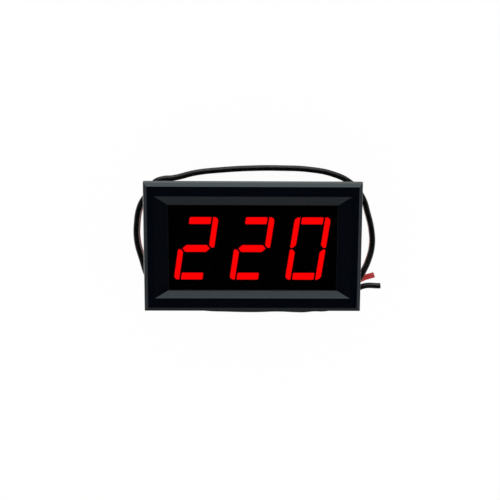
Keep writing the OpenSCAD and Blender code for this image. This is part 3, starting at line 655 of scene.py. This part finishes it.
def board_finish():
    """Green mask over copper areas, with tinned holes whose dark middles are painted shade,
    printed outlines and a bare edge.
    """
    finish, place = new_finish("green_mask")
    copper_size, hole_spacing, edge_t = 3.1 * mm, 3.9 * mm, 0.02 * mm
    # Shares of the size of a cell
    gap_w, via_r, bore_r = 0.06, 0.075, 0.035
    second = cells(place, copper_size, 0.5, "F2", "CHEBYCHEV")
    gap = second - cells(place, copper_size, 0.5, "F1", "CHEBYCHEV") < gap_w
    hole = cells(place, hole_spacing)
    via, shaded_bore = hole < via_r, hole < bore_r
    print_lines = outline_round(place, "microcontroller", "microcontroller_legs")
    for names in (["bridge_rectifier", "rectifier_legs"], ["voltage_regulator", "regulator_legs"],
                  ["trimmer_base"], ["dropper_capacitor"], ["reservoir_capacitor"]):
        print_lines = print_lines + outline_round(place, *names)
    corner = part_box("main_board")[1]
    edge = (abs(place.part("X")) > corner.x - edge_t) + (abs(place.part("Y")) > corner.y - edge_t)
    weft, warp = (place.noise(2.2, stretch=way) for way in ((1, 0.2, 1), (0.2, 1, 1)))
    weave = weft * 0.5 + warp * 0.5
    mask = weave.between(0.0, 1.0).colours(rgb(0.008, 0.095, 0.04), rgb(0.012, 0.125, 0.052))
    mask = gap.colours(mask, rgb(0.004, 0.045, 0.02))
    mask = via.colours(mask, grey(0.55))
    # Painted shade: the holes are not cut, so a dark disc stands for the shade down inside each
    # one
    mask = shaded_bore.colours(mask, grey(0.02))
    mask = print_lines.colours(mask, rgb(0.75, 0.76, 0.72))
    mask = edge.colours(mask, rgb(0.42, 0.38, 0.2))
    relief = weave * 0.3 - gap * 0.5 + print_lines * 0.6 - shaded_bore * 2.0
    return connect(finish, Base_Color=mask,
                   Metallic=via - shaded_bore,
                   Roughness=weave.between(0.26, 0.34) + print_lines * 0.3 + edge * 0.3,
                   Normal=relief.bump(12e-6, 0.8))


dress(board_finish(), "main_board")
print("board finish on")

# %% [markdown]
# ## Marked components
#
# A few components carry plain marks that everyone who repairs boards knows: a pale stripe
# with dashes on the minus side of the can, and four coloured rings on the resistor. They
# could be painted on an image. Comparing a place with a few sizes draws them too, and
# keeps their edges sharp from any distance.

# %% Can and resistor finishes
def can_finish():
    """Blue sleeve with a minus stripe; the bare end has a cross that lets pressure out."""
    finish, place = new_finish("can_sleeve", Coat_Roughness=0.12)
    stripe_half, dash_half, dash_step, dash_long = 0.85 * mm, 0.16 * mm, 0.9 * mm, 0.42 * mm
    end_t, end_r, cross_half, cross_r = 0.3 * mm, 1.95 * mm, 0.13 * mm, 1.5 * mm
    low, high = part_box("reservoir_capacitor")
    along, aside, up = (place.part(axis) - (a + b) / 2 for axis, a, b in zip("XYZ", low, high))
    stripe = (abs(aside) < stripe_half) * (up < 0.0)
    step = along.maths("PINGPONG", along, dash_step)
    dash = stripe * (abs(aside) < dash_half) * (step < dash_long)
    radius = along.maths("SQRT", aside * aside + up * up)
    end = (along < low.x - (low.x + high.x) / 2 + end_t) * (radius < end_r)
    cross = end * ((abs(aside) < cross_half) + (abs(up) < cross_half)) * (radius < cross_r)
    shade = place.noise(0.4, 3.0).between(0.0, 1.0)
    blue = rgb(0.012, 0.03, 0.14)
    colour = shade.colours(blue, rgb(0.016, 0.042, 0.19))
    colour = stripe.colours(colour, rgb(0.42, 0.46, 0.52))
    colour = dash.colours(colour, blue)
    colour = end.colours(colour, grey(0.62))
    return connect(finish, Base_Color=colour, Metallic=end,
                   Roughness=shade.between(0.2, 0.28) + end * 0.12,
                   Coat_Weight=(1 - end) * 0.4,
                   Normal=(shade * 0.1 - cross).bump(0.06 * mm, 1.0))


def banded_resistor():
    """Pale blue lacquer with brown, black, black and gold rings."""
    finish, place = new_finish("resistor_coat")
    low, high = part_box("fusible_resistor")
    share = (place.part("X") - low.x) * (1 / (high.x - low.x))
    coat, brown, black, gold = (rgb(0.15, 0.28, 0.4), rgb(0.1, 0.03, 0.012), grey(0.006),
                                rgb(0.45, 0.28, 0.06))
    rings = [(0.0, coat), (0.16, brown), (0.24, coat), (0.34, black), (0.42, coat),
             (0.52, black), (0.6, coat), (0.78, gold), (0.86, coat)]
    painted = place.node("ShaderNodeValToRGB", {"stops": rings}, {0: share})
    drip = place.noise(0.8)
    return connect(finish, Base_Color=drip.between(0.0, 0.12).colours(painted, grey(0.3)),
                   Roughness=drip.between(0.28, 0.4), Normal=drip.bump(0.02 * mm, 0.6))


dress(can_finish(), "reservoir_capacitor")
dress(banded_resistor(), "fusible_resistor")
print("marked components on")

# %% [markdown]
# ## Plain components
#
# The rest are even finishes: tinned legs, bright solder, black packages, a dark red film
# capacitor in dipped epoxy, ceramic chips and a blue trimmer with a pale rotor. They are
# small and seen from afar, so one recipe with its own colours and gloss serves each.

# %% Component finishes
dress(speckled("fibre_substrate", rgb(0.62, 0.58, 0.45), rgb(0.7, 0.66, 0.53), 0.6),
      "display_substrate")
dress(speckled("potting_resin", rgb(0.66, 0.62, 0.5), rgb(0.74, 0.7, 0.58), 0.35),
      "display_potting")
dress(speckled("tinned_metal", grey(0.5), grey(0.62), 0.32, Metallic=1.0),
      "display_pins", "microcontroller_legs", "rectifier_legs", "regulator_legs",
      "dropper_legs", "reservoir_legs", "resistor_legs", "trimmer_pins",
      "chip_resistor_ends", "chip_capacitor_ends")
dress(speckled("solder", grey(0.62), grey(0.75), 0.22, Metallic=1.0),
      "pin_joints", "leg_joints", "lead_blobs")
dress(speckled("package_epoxy", grey(0.008), grey(0.016), 0.5, grain=12.0, depth=8e-6),
      "microcontroller", "bridge_rectifier", "voltage_regulator", "chip_resistors")
dress(speckled("film_epoxy", rgb(0.2, 0.018, 0.014), rgb(0.29, 0.03, 0.02), 0.3,
               grain=1.2, depth=12e-6), "dipped_capacitor")
dress(speckled("rubber_bung", grey(0.012), grey(0.02), 0.7), "reservoir_bung")
dress(speckled("chip_ceramic", rgb(0.36, 0.24, 0.12), rgb(0.42, 0.29, 0.16), 0.45),
      "chip_capacitors")
dress(speckled("trimmer_blue", rgb(0.02, 0.12, 0.45), rgb(0.03, 0.15, 0.52), 0.35), "trimmer_base")
dress(speckled("rotor_white", rgb(0.7, 0.68, 0.62), rgb(0.78, 0.76, 0.7), 0.4), "trimmer_rotor")
dress(speckled("copper", rgb(0.62, 0.26, 0.15), rgb(0.74, 0.34, 0.2), 0.3, Metallic=1.0),
      "lead_cores", "red_strands", "black_strands")
dress(speckled("die_gold", rgb(0.6, 0.3, 0.05), rgb(0.7, 0.4, 0.08), 0.4), "led_dies")
print("component finishes on")

# %% [markdown]
# ## Floor, light and background
#
# The floor is pale and plain. To the camera it is almost white, with a little of its
# shaded colour mixed in so the soft shadow stays. Seen from below it is left out, and so
# it is to scattered and mirrored rays, which see the pale studio under it. That light
# reaches the back of the board.

# %% Floor
floor_size = 3.0
floor_white = 0.965
bpy.ops.object.select_all(action="DESELECT")
bpy.ops.mesh.primitive_plane_add(size=floor_size)
floor = bpy.context.object
floor.name = "floor"
floor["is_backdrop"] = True


def rays(tree, *kinds):
    """Wires that are 1 for a kind of ray and 0 for the others."""
    paths = tree.nodes.new("ShaderNodeLightPath")
    return [Wire(tree, paths.outputs[f"Is {kind} Ray"]) for kind in kinds]


def floor_finish():
    finish = bpy.data.materials.new("pale_floor")
    finish.use_nodes = True
    tree = finish.node_tree
    tree.nodes.clear()
    seen, scattered, mirrored = rays(tree, "Camera", "Diffuse", "Glossy")
    unseen = scattered + mirrored + seen.node("ShaderNodeNewGeometry", output="Backfacing")
    diffuse = seen.node("ShaderNodeBsdfDiffuse", None, {"Color": grey(0.97)})
    white = seen.node("ShaderNodeEmission", None, {"Color": grey(1.0), "Strength": 1.0})
    lit_floor = seen.node("ShaderNodeMixShader", None,
                          {0: seen * floor_white, 1: diffuse, 2: white})
    nothing = seen.node("ShaderNodeBsdfTransparent")
    mixed = seen.node("ShaderNodeMixShader", None, {0: unseen, 1: lit_floor, 2: nothing})
    out = tree.nodes.new("ShaderNodeOutputMaterial")
    tree.links.new(mixed.socket, out.inputs["Surface"])
    return finish


floor.data.materials.append(floor_finish())
print("floor", floor_size, "m")

# %% [markdown]
# The world is a plain pale studio. To the camera it is white, and it lights everything
# evenly. To glossy rays it is pale round the horizon, brightest beyond the top of the
# digits, and dark overhead, as in a studio whose light comes from the sides. So the flat
# black face stays black while its slanting edges catch the light. Below the horizon on
# the far side it is dimmer, as a floor is in the shade of what stands on it.
#
# Lamps could do this, but each would leave its own bright spot on the black plastic. A
# world painted by direction has no edges to be mirrored.

# %% World
def studio(sides=1.3, beyond_top=5.45, beyond_foot=1.04, overhead=0.01):
    world = bpy.data.worlds.new("studio")
    bpy.context.scene.world = world
    world.use_nodes = True
    world.cycles.sampling_method = "NONE"
    tree = world.node_tree
    tree.nodes.clear()
    seen, through, mirrored = rays(tree, "Camera", "Transmission", "Glossy")
    towards = Wire(tree, tree.nodes.new("ShaderNodeTexCoord").outputs["Generated"])
    x_part, y_part, height = towards.part("X"), towards.part("Y"), towards.part("Z")

    def fade(wire, start, end, low, high):
        """Goes smoothly from low to high as the wire goes from start to end."""
        return wire.node("ShaderNodeMapRange", {"interpolation_type": "SMOOTHSTEP"},
                         {0: wire, 1: start, 2: end, 3: low, 4: high})

    # A band round the horizon, brighter at the sides than beyond the top and the foot
    low_band = fade(height, 0.4, 0.12, overhead, 1.0)
    across = fade(abs(y_part), 0.3, 0.9, sides, 0.35) * fade(y_part, -0.4, -0.9, 1.0, 0.5)
    # A broad panel of light beyond the top of the digits, and a low one beyond their foot
    top_light = (fade(height, 0.15, 0.4, 0.3, 1.0) * fade(height, 0.85, 0.65, 0.0, 1.0)
                 * fade(y_part, 0.3, 0.6, 0.0, 1.0) * fade(abs(x_part), 0.5, 0.25, 0.0, 1.0))
    foot_light = (fade(height, 0.02, 0.16, 0.0, 1.0) * fade(height, 0.5, 0.3, 0.0, 1.0)
                  * fade(y_part, -0.4, -0.9, 0.0, 1.0))
    own_shade = fade(height, 0.0, -0.5, 0.0, 0.65) * fade(y_part, 0.1, 0.35, 0.0, 1.0)
    lights = low_band * across + top_light * beyond_top + foot_light * beyond_foot
    level = lights * (1 - own_shade)

    def choose(switch, usual, other):
        return level.node("ShaderNodeMix", {"data_type": "FLOAT"}, {0: switch, 2: usual, 3: other})

    strength = choose(seen + through, choose(mirrored, 1.0, level), 1.0)
    background = level.node("ShaderNodeBackground", None,
                            {"Color": grey(1.0), "Strength": strength})
    out = tree.nodes.new("ShaderNodeOutputWorld")
    tree.links.new(background.socket, out.inputs["Surface"])


studio()
bpy.context.scene.view_settings.view_transform = "Standard"
print("world ready")

# %% [markdown]
# ## The finished size
#
# The last lines print how much the finished model has grown beyond the CAD model.

# %% Finish
size_low, size_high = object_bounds()
growth = [round((a - b) / mm, 2) for a, b in zip(size_high - size_low, cad_high - cad_low)]
print("grown by", growth, "mm")
